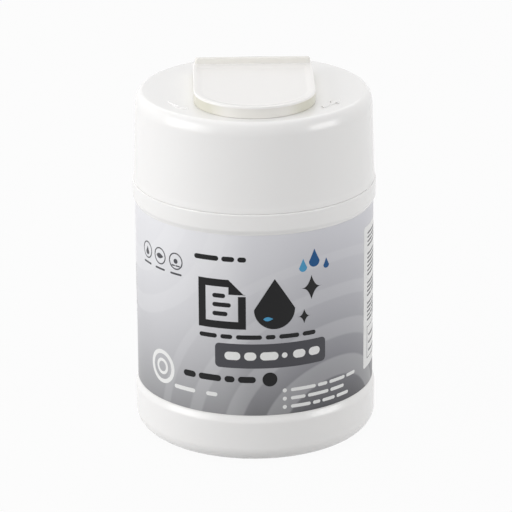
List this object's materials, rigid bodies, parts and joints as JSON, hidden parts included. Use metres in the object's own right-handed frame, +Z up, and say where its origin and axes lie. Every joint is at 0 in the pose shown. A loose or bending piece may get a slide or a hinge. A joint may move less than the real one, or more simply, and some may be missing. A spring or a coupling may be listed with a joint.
{
  "type": "wipes canister",
  "caption": "Round wet-wipes bottle with a label sleeve, a screw cap, a hinged flip lid over a star-cut dispensing hole, and a roll of wipes inside.",
  "frame": {"origin": "centre of the base, on the plane that the foot stands on", "axes": "+Z up along the bottle, -Y towards the lid's rounded front, +X to the right seen from the front"},
  "size_m": [0.0856, 0.0856, 0.1308],
  "materials": {
    "bottle_white": "moulded white polypropylene, smooth and softly glossy",
    "cap_white": "moulded white polypropylene, smooth and softly glossy",
    "lid_white": "moulded white polypropylene, smooth and softly glossy",
    "label_film": "printed glossy film, silver grey fading darker towards the bottom",
    "seal_foam": "white foamed sealing ring, matt",
    "wipe_cloth": "moist white non-woven cloth"
  },
  "bodies": {
    "canister_body": {"bottle": "bottle_white", "label_sleeve": "label_film", "wipes_roll": "wipe_cloth"},
    "seal_carrier": {"sealing_ring": "seal_foam"},
    "cap": {"screw_cap": "cap_white"},
    "lid": {"flip_lid": "lid_white"}
  },
  "joints": [
    {"name": "cap_lift", "type": "slide", "parent": "canister_body", "child": "seal_carrier", "axis": [0, 0, 1], "range_m": [0, 0.00625]},
    {"name": "cap_turn", "type": "hinge", "parent": "seal_carrier", "child": "cap", "pos_m": [0, 0, 0.1], "axis": [0, 0, 1], "range_deg": [0, 450]},
    {"name": "lid_hinge", "type": "hinge", "parent": "cap", "child": "lid", "pos_m": [0, 0.0159, 0.1259], "axis": [-1, 0, 0], "range_deg": [0, 100]}
  ],
  "couplings": [
    {"joint": "cap_lift", "follows": "cap_turn", "m_per_rad": 0.00079577}
  ]
}
